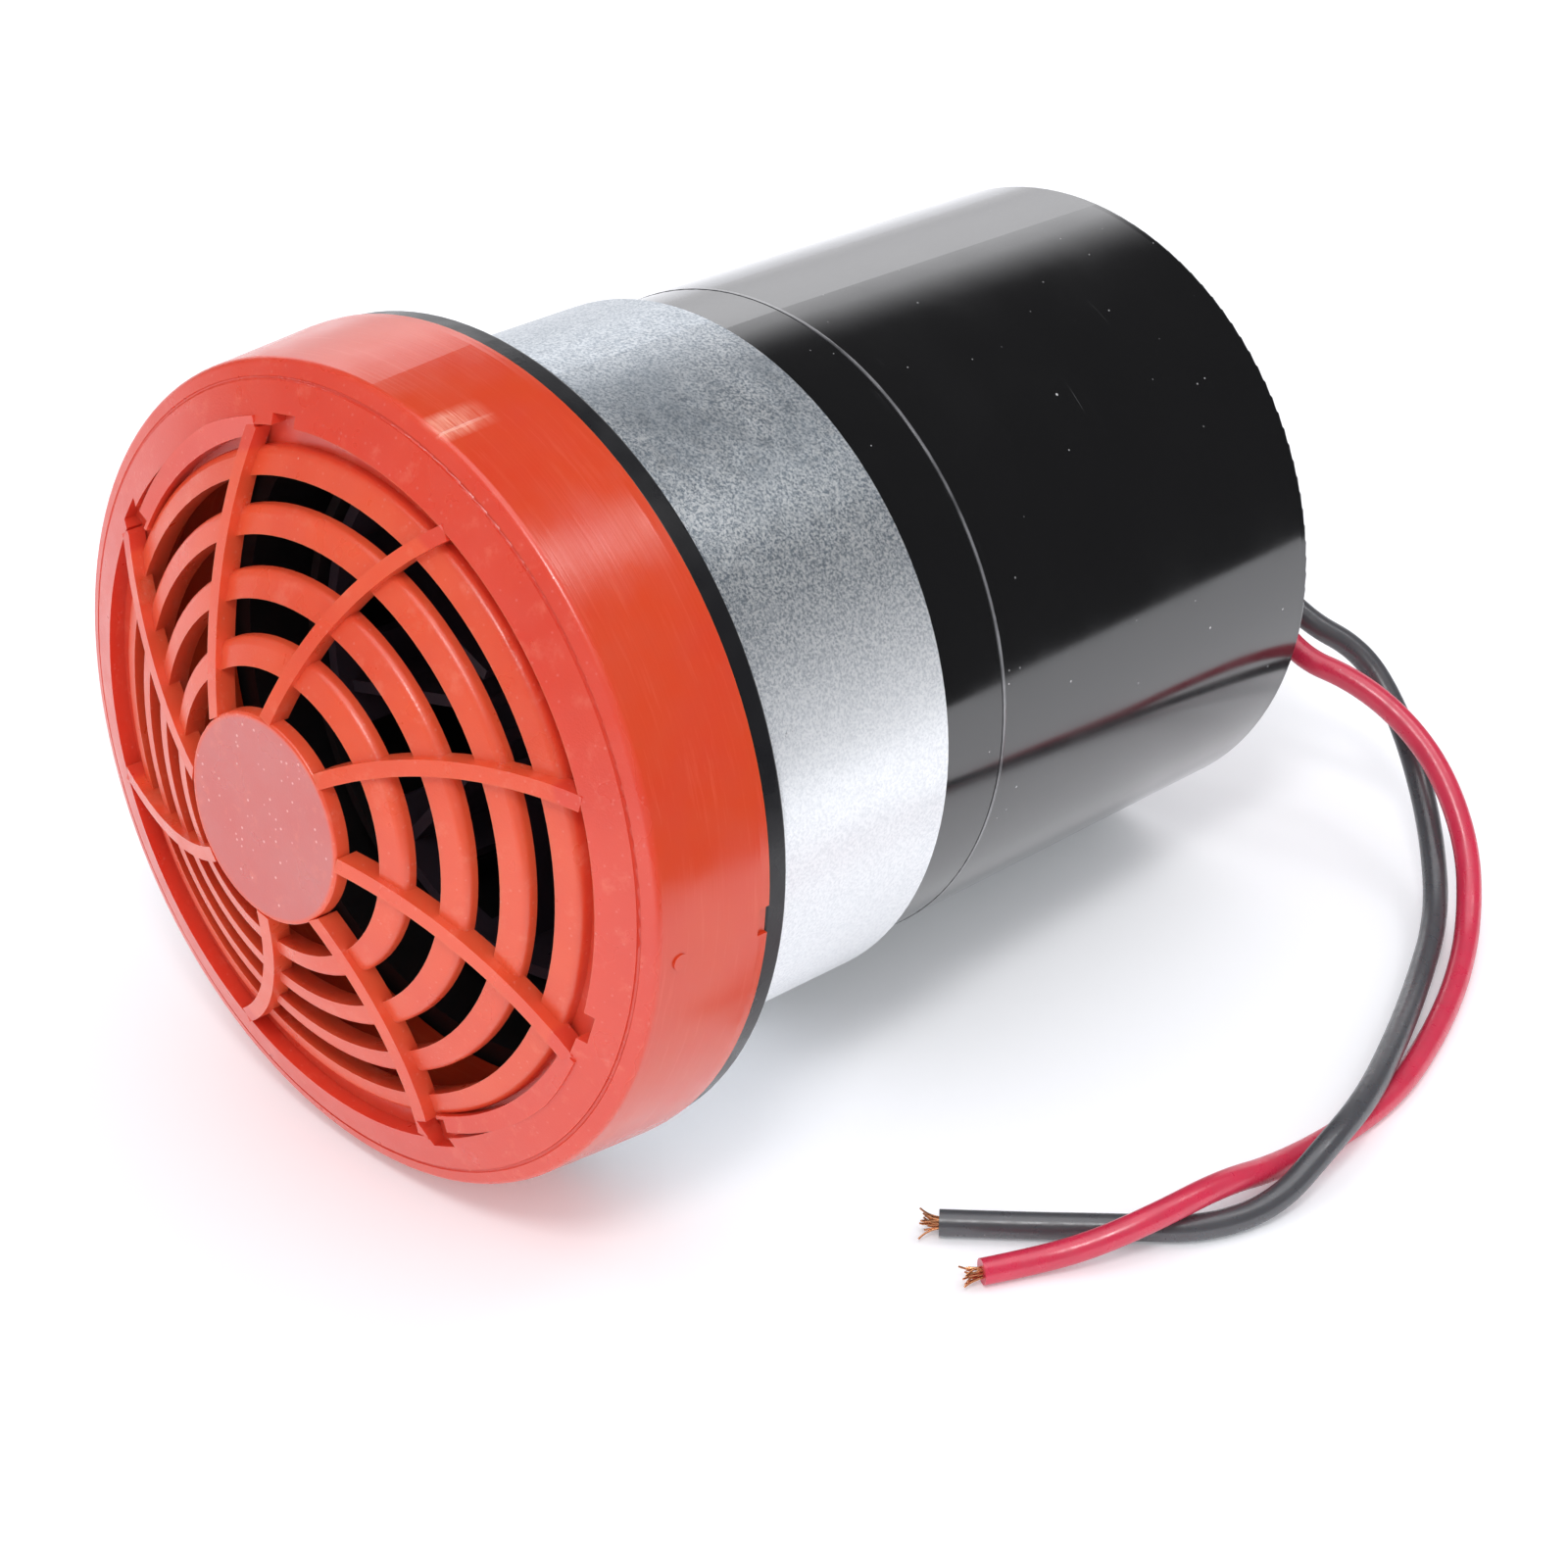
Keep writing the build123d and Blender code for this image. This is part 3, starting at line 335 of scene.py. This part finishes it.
def plain_plastic(name, colour, roughness, grain=0.0004, depth=0.000012):
    """Moulded plastic with a fine grain and slightly uneven gloss."""
    shade = Shade(name, colour, roughness)
    shade.tint(shade.span(shade.noise(0.008, 3), 0.35, 0.7, 0.0, 0.35), darker(colour, 0.75))
    shade.drive("Roughness", shade.span(shade.noise(0.003), 0.3, 0.7, roughness - 0.06, roughness + 0.08))
    shade.raise_by(shade.noise(grain, 4), depth)
    return shade.done()


def plain_metal(name, colour, roughness, grain=0.0003, depth=0.00001):
    """Bare or plated metal with soft blotches and fine drawing marks."""
    shade = Shade(name, colour, roughness, metallic=1.0)
    shade.tint(shade.span(shade.noise(0.004, 4), 0.35, 0.75, 0.0, 0.5), darker(colour, 0.7))
    shade.drive("Roughness", shade.span(shade.noise(0.002, 3), 0.3, 0.7, roughness - 0.07, roughness + 0.1))
    shade.raise_by(shade.noise(grain, 3), depth)
    return shade.done()


RED = (0.62, 0.055, 0.014)
RED_FRONT = (0.7, 0.062, 0.03)
RED_DOME_LIT = (0.78, 0.1, 0.036)
RED_DISC_SHEEN = (0.55, 0.15, 0.145)
RED_DEEP = (0.6, 0.03, 0.018)
RED_RUBBED = (0.85, 0.24, 0.16)
RED_GLINT = (0.9, 0.5, 0.46)
RED_DUST = (0.85, 0.6, 0.55)
RED_SCUFF = (0.76, 0.13, 0.07)
RED_PARTING_HIGHLIGHT = (0.95, 0.5, 0.4)
RED_STREAK = (0.95, 0.48, 0.36)
SKIRT_START = (-0.0002, 0.0006)  # stations where the front gives way to the skirt
DOME_EDGE = (0.032, 0.0325)  # radii where the dome of ribs and rings ends
DISC_EDGE = (0.0096, 0.01)  # radii where the middle disc ends
RIDGE_AND_HIGHLIGHTS_END = (0.002, 0.0065)  # stations over which the parting ridge, its painted highlight and the painted highlight streak fade
PARTING_ANGLE = radians(76.5)
PARTING_HALF = 0.005
STREAK_ANGLE = radians(77.5)
STREAK_HALF = 0.05


def red_front(shade, front):
    """Colours of the cap's rim, painted light over its dome of ribs and rings, and a painted sheen on its
    middle disc.
    """
    shade.tint(front, RED_FRONT)
    # painted light: a warmer orange over the dome of ribs and rings, as light from above gives their walls
    dome = shade.times(shade.fade(shade.radius, *DOME_EDGE), front)
    shade.tint(shade.times(dome, 0.85), RED_DOME_LIT)
    # painted sheen: a paler, pinker middle disc, as the sheen of its grain shows
    disc = shade.times(shade.fade(shade.radius, *DISC_EDGE), front)
    shade.tint(shade.times(disc, 0.85), RED_DISC_SHEEN)
    return disc


def red_skirt(shade, skirt):
    """Turning lines and scuffs round the cap's skirt, and its parting line: a ridge with a painted
    highlight.

    The pale streak beside the parting line stands for a lamp's highlight, not for wear.
    """
    scuffs = shade.drawn_noise(0.009, 0.0006, 4, roughness=0.65)
    shade.tint(shade.times(shade.span(scuffs, 0.55, 0.75, 0.0, 0.3), skirt), RED_SCUFF)
    shade.raise_by(shade.times(shade.drawn_noise(0.02, 0.00028, 3), skirt), 0.000012)
    ridge_and_highlights = shade.times(skirt, shade.fade(shade.station, *RIDGE_AND_HIGHLIGHTS_END))
    # painted highlight: a pale tint along the parting ridge near the front edge
    parting = shade.times(shade.band(shade.angle, PARTING_ANGLE, PARTING_HALF), ridge_and_highlights)
    shade.raise_by(parting, 0.00006)
    shade.tint(shade.times(parting, 0.5), RED_PARTING_HIGHLIGHT)
    lines = shade.drawn_noise(0.004, 0.0003, 3, roughness=0.7)
    streak = shade.times(shade.band(shade.angle, STREAK_ANGLE, STREAK_HALF), ridge_and_highlights)
    shade.tint(shade.times(streak, shade.span(lines, 0.35, 0.65, 0.2, 0.75)), RED_STREAK)


def red_cap():
    """Red plastic: grained, rubbed front with painted glints, and a glossier skirt."""
    shade = TurnedShade("red_cap", RED, 0.3)
    shade.set(Subsurface_Weight=0.25, Subsurface_Scale=0.0025, Specular_IOR_Level=0.8)
    shade.set(Subsurface_Radius=(1.0, 0.2, 0.1))
    skirt = shade.span(shade.station, *SKIRT_START)
    front = shade.math("SUBTRACT", 1.0, skirt)
    disc = red_front(shade, front)
    shade.tint(shade.span(shade.noise(0.009, 4), 0.4, 0.75, 0.0, 0.35), RED_DEEP)
    rubbed = shade.span(shade.noise(0.0028, 5, roughness=0.7), 0.56, 0.72, 0.0, 0.3)
    shade.tint(shade.times(rubbed, front), RED_RUBBED)
    # painted glints: bright specks in the base colour of the grained front, most on the disc
    painted_glints = shade.times(shade.specks(0.0008, 0.4, 0.2), shade.span(disc, 0, 1, 0.12, 0.7))
    shade.tint(shade.times(painted_glints, front), RED_GLINT)
    shade.tint(shade.times(shade.specks(0.0035, 0.12, 0.035), 0.6), RED_DUST)
    shade.raise_by(shade.times(shade.noise(0.00022, 3), front), 0.000018)
    red_skirt(shade, skirt)
    gloss = shade.span(shade.noise(0.004, 3), 0.3, 0.7, -0.04, 0.06)
    base = shade.math("ADD", shade.times(front, 0.1), 0.2)
    shade.drive("Roughness", shade.math("ADD", base, gloss))
    return shade.done()


ZINC = (0.7, 0.74, 0.78)
ZINC_CLOUD = (0.52, 0.57, 0.62)
ZINC_PALE = (0.86, 0.89, 0.92)
ZINC_CRYSTAL = (0.5, 0.54, 0.58)
ZINC_DARK_GRIT = (0.2, 0.25, 0.31)
ZINC_BRIGHT_GRIT = (0.97, 0.99, 1.0)
ZINC_TOP = (0.4, 0.44, 0.48)
ZINC_DULL = (0.33, 0.38, 0.43)
ZINC_BRIGHT = (0.96, 0.98, 1.0)
TOP_START = (1.25, 1.75)  # angles over which the grey top begins
# angles where each of these starts, is full, begins to fade and has gone
SHOULDER = (0.75, 1.15, 1.45, 1.75)
UNDERSIDE = (-2.7, -1.7, 0.15, 0.85)


def galvanised():
    """Zinc coat: bluish mottling, grit and pale scratches.

    The grey top, dull shoulder and bright underside stand for light that falls from fixed sides.
    """
    shade = TurnedShade("galvanised", ZINC, 0.3, metallic=0.8)
    mottle = shade.noise(0.0016, 5, roughness=0.7)
    _, crystals = shade.cells(0.0012)
    grit = shade.noise(0.0003, 3, roughness=0.7)
    shade.tint(shade.span(shade.noise(0.007, 5, roughness=0.6), 0.4, 0.68, 0.0, 0.45), ZINC_CLOUD)
    shade.tint(shade.span(mottle, 0.45, 0.7, 0.0, 0.5), ZINC_PALE)
    shade.tint(shade.times(crystals, 0.22), ZINC_CRYSTAL)
    shade.tint(shade.span(grit, 0.5, 0.6, 0.0, 0.85), ZINC_DARK_GRIT)
    shade.tint(shade.span(grit, 0.4, 0.48, 0.9, 0.0), ZINC_BRIGHT_GRIT)
    shade.tint(shade.span(shade.angle, *TOP_START, 0.0, 0.55), ZINC_TOP)
    patches = shade.span(shade.noise(0.01, 5, roughness=0.65), 0.35, 0.6)
    shade.tint(shade.times(shade.plateau(shade.angle, *SHOULDER), patches, 0.5), ZINC_DULL)
    underside = shade.plateau(shade.angle, *UNDERSIDE, kind="SMOOTHSTEP")
    shade.tint(shade.times(underside, 0.75), ZINC_BRIGHT)
    scratches = shade.span(shade.drawn_noise(0.0002, 0.009, 2), 0.7, 0.75)
    shade.tint(shade.times(scratches, 0.5), ZINC_BRIGHT)
    shade.drive("Metallic", shade.span(underside, 0, 1, 0.8, 0.4))
    uneven = shade.math("ADD", shade.times(mottle, 0.16), shade.times(crystals, 0.06))
    shade.drive("Roughness", shade.math("ADD", uneven, 0.22))
    shade.raise_by(mottle, 0.000014)
    shade.raise_by(grit, 0.000014)
    return shade.done()


BLACK = (0.004, 0.004, 0.0045)
DUST = (0.55, 0.55, 0.56)
UPPER_DUST_AND_SHEEN = (0.45, 0.46, 0.48)
SEAM_HIGHLIGHT = (0.35, 0.35, 0.37)
HAIRLINE = (0.3, 0.3, 0.31)
SEAM_STATION = 0.05115
SEAM_HALF = 0.00022
UPPER_SIDE = (1.35, 1.8, 1.9, 2.5)  # angles where the dust and painted sheen on the upper side start, are full, fade and have gone


def black_gloss():
    """Glossy black plastic: dust, hairline scratches, a faint ripple, dust and painted sheen on the upper
    side, and a painted highlight along the seam.
    """
    shade = TurnedShade("black_gloss", BLACK, 0.09)
    shade.set(Specular_IOR_Level=0.95, Coat_Weight=0.5, Coat_Roughness=0.1)
    dust = shade.math("MAXIMUM", shade.specks(0.0032, 0.4, 0.05), shade.specks(0.0014, 0.16, 0.07))
    dust = shade.times(dust, shade.span(shade.noise(0.013), 0.38, 0.56, 0.25, 1.0))
    fine = shade.span(shade.noise(0.0004, 3), 0.2, 0.8)
    # dust and painted sheen: a fine grey over the upper side
    shade.tint(shade.times(shade.plateau(shade.angle, *UPPER_SIDE), fine, 0.1), UPPER_DUST_AND_SHEEN)
    shade.tint(dust, DUST)
    # painted highlight: a pale, broken line along the seam's raised edge
    seam_highlight_breaks = shade.span(shade.noise(0.004, 3), 0.3, 0.6, 0.35, 1.0)
    seam = shade.times(shade.band(shade.station, SEAM_STATION, SEAM_HALF), seam_highlight_breaks)
    shade.tint(shade.times(seam, 0.55), SEAM_HIGHLIGHT)
    hairs = shade.span(shade.drawn_noise(0.012, 0.00016, 2), 0.7, 0.76)
    hairs = shade.times(hairs, shade.span(shade.noise(0.009), 0.5, 0.62))
    shade.tint(shade.times(hairs, 0.2), HAIRLINE)
    haze = shade.span(shade.noise(0.01, 5), 0.4, 0.75, 0.1, 0.17)
    shade.drive("Roughness", shade.math("ADD", haze, shade.times(dust, 0.4)))
    shade.raise_by(shade.noise(0.006, 2), 0.000008)
    shade.raise_by(dust, 0.00003)
    shade.raise_by(seam, 0.00003)
    return shade.done()


LINT = (0.6, 0.55, 0.55)


def insulation(name, colour):
    """Smooth cable sheath with lint and faint print-through of the strands."""
    shade = Shade(name, colour, 0.28)
    shade.set(Subsurface_Weight=0.1, Subsurface_Scale=0.0006, Specular_IOR_Level=0.9)
    shade.tint(shade.span(shade.noise(0.003, 3), 0.4, 0.7, 0.0, 0.4), darker(colour, 0.8))
    shade.tint(shade.times(shade.specks(0.0018, 0.2, 0.05), 0.5), LINT)
    shade.drive("Roughness", shade.span(shade.noise(0.0015, 3), 0.3, 0.7, 0.24, 0.38))
    shade.raise_by(shade.noise(0.0009, 2), 0.00002)
    return shade.done()


# colour and roughness of each plain plastic
PLASTICS = {
    "black_rubber": ((0.01, 0.01, 0.012), 0.3),
    "black_duct": ((0.012, 0.012, 0.013), 0.45),
    "rotor_plastic": ((0.05, 0.04, 0.055), 0.4),
    "ferrite": ((0.06, 0.06, 0.065), 0.6),
    "carbon": ((0.03, 0.03, 0.03), 0.55),
    "bell_plastic": ((0.7, 0.68, 0.6), 0.45),
    "board": ((0.25, 0.15, 0.06), 0.5),
    "capacitor_case": ((0.5, 0.33, 0.03), 0.35),
}
# colour and roughness of each plain metal, and the winding's coarser grain and its depth
METALS = {
    "zinc_screw": ((0.62, 0.62, 0.6), 0.3),
    "ground_steel": ((0.6, 0.6, 0.62), 0.22),
    "motor_steel": ((0.5, 0.5, 0.52), 0.3),
    "bronze": ((0.42, 0.24, 0.1), 0.45),
    "core_steel": ((0.3, 0.3, 0.32), 0.4),
    "copper_wire": ((0.55, 0.2, 0.07), 0.3, 0.0006, 0.00004),
    "copper": ((0.72, 0.33, 0.16), 0.25),
    "brass_strip": ((0.7, 0.5, 0.2), 0.28),
}
MATERIALS = {
    "red_cap": red_cap(),
    "galvanised_steel": galvanised(),
    "black_gloss": black_gloss(),
    "black_pvc": insulation("black_pvc", (0.07, 0.07, 0.078)),
    "red_pvc": insulation("red_pvc", (0.62, 0.025, 0.07)),
}
MATERIALS |= {name: plain_plastic(name, *look) for name, look in PLASTICS.items()}
MATERIALS |= {name: plain_metal(name, *look) for name, look in METALS.items()}

for entry in frame["record"]["subparts"]:
    for slot in NODES[entry["node"]].material_slots:
        slot.material = MATERIALS[entry["material_slot"]]


# ---------------------------------------------------------------- leads
LEAD_DIAMETER = 0.0026
CURVE_ORDER = 3
BOARD_REAR = 0.0932
BLACK_ROUTE = (
    place(BOARD_REAR, 0.009, -0.002), place(0.1022, 0.009, -0.002), (0.0145, 0.0645, 0.027),
    (0.023, 0.065, 0.0215), (0.0285, 0.0685, 0.0185), (0.034, 0.068, 0.014),
    (0.0395, 0.0655, 0.0095), (0.0455, 0.061, 0.0055), (0.0515, 0.0545, 0.0025),
    (0.057, 0.0445, 0.002), (0.0625, 0.034, 0.0035), (0.067, 0.024, 0.0045),
    (0.069, 0.0155, 0.0045), (0.069, 0.0085, 0.0015), (0.0665, 0.001, 0.0014),
    (0.0605, -0.0045, 0.0014), (0.0543, -0.0105, 0.0014), (0.0483, -0.016, 0.0014),
)
RED_ROUTE = (
    place(BOARD_REAR, 0.0115, -0.0045), place(0.1017, 0.0115, -0.0045), (0.0175, 0.0625, 0.025),
    (0.025, 0.0615, 0.0195), (0.032, 0.0635, 0.0185), (0.0385, 0.0645, 0.0155),
    (0.0445, 0.0635, 0.012), (0.05, 0.061, 0.007), (0.0545, 0.056, 0.0025),
    (0.059, 0.0485, 0.0015), (0.063, 0.0395, 0.0014), (0.066, 0.03, 0.0014),
    (0.0663, 0.021, 0.0014), (0.0657, 0.0123, 0.002), (0.0655, 0.0045, 0.0045),
    (0.0645, -0.0035, 0.0045), (0.0615, -0.009, 0.0025), (0.0585, -0.0135, 0.0014),
    (0.056, -0.0183, 0.0014),
)
# colour, route, length and the seed of the strands' spread
LEADS = (
    ("black", BLACK_ROUTE, 0.1497, 3),
    ("red", RED_ROUTE, 0.142, 8),
)

STRAND_COUNT = 16
STRAND_TURN = 2.4  # angle from one strand to the next, which spreads them evenly
STRAND_DIAMETER = 0.0002
STRAND_BUNDLE = 0.0008
STRAND_REACH = 0.001  # shortest reach past the sheath, and the most that chance adds to it
STRAND_ROOT = 0.0005  # length kept inside the sheath
ROOT_SHARE = 0.8  # of its offset, where a strand leaves the sheath
SPLAY_SHARE = 0.4  # of its offset, added at the tip


def tube(name, lines, diameter, material):
    """Curve object of round tubes along lines of points."""
    data = bpy.data.curves.new(name, "CURVE")
    data.dimensions = "3D"
    data.bevel_depth = diameter / 2
    data.bevel_resolution = 6
    data.resolution_u = 12
    data.use_fill_caps = True
    for line in lines:
        spline = data.splines.new("NURBS")
        spline.points.add(len(line) - 1)
        for point, where in zip(spline.points, line):
            point.co = (*where, 1)
        spline.order_u = CURVE_ORDER
        spline.use_endpoint_u = True
    data.materials.append(material)
    return add_object(name, data)


def strands(name, route, seed):
    """Fine copper strands splaying out of a lead's cut end."""
    chance = random.Random(seed)
    end, before = Vector(route[-1]), Vector(route[-2])
    ahead = (end - before).normalized()
    side = ahead.cross(Vector((0, 0, 1))).normalized()
    rise = side.cross(ahead)
    lines = []
    for number in range(STRAND_COUNT):
        angle = number * STRAND_TURN
        spread = STRAND_BUNDLE * (number / STRAND_COUNT) ** 0.5
        offset = side * cos(angle) * spread + rise * sin(angle) * spread
        reach = STRAND_REACH + STRAND_REACH * chance.random()
        drift = side * chance.uniform(-0.5, 0.5) * reach + rise * chance.uniform(-0.35, 0.5) * reach
        root = end + offset * ROOT_SHARE
        lines.append((
            root - ahead * STRAND_ROOT,
            root + ahead * reach * 0.5,
            root + offset * SPLAY_SHARE + ahead * reach + drift,
        ))
    return tube(name, lines, STRAND_DIAMETER, MATERIALS["copper"])


for name, route, length, seed in LEADS:
    sheath = tube(f"{name}_lead_visual", [route], LEAD_DIAMETER, MATERIALS[f"{name}_pvc"])
    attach(sheath, BODY)
    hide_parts(f"{name}_lead")
    frayed = strands(f"{name}_strands_visual", route, seed)
    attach(frayed, BODY)
    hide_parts(f"{name}_strands")
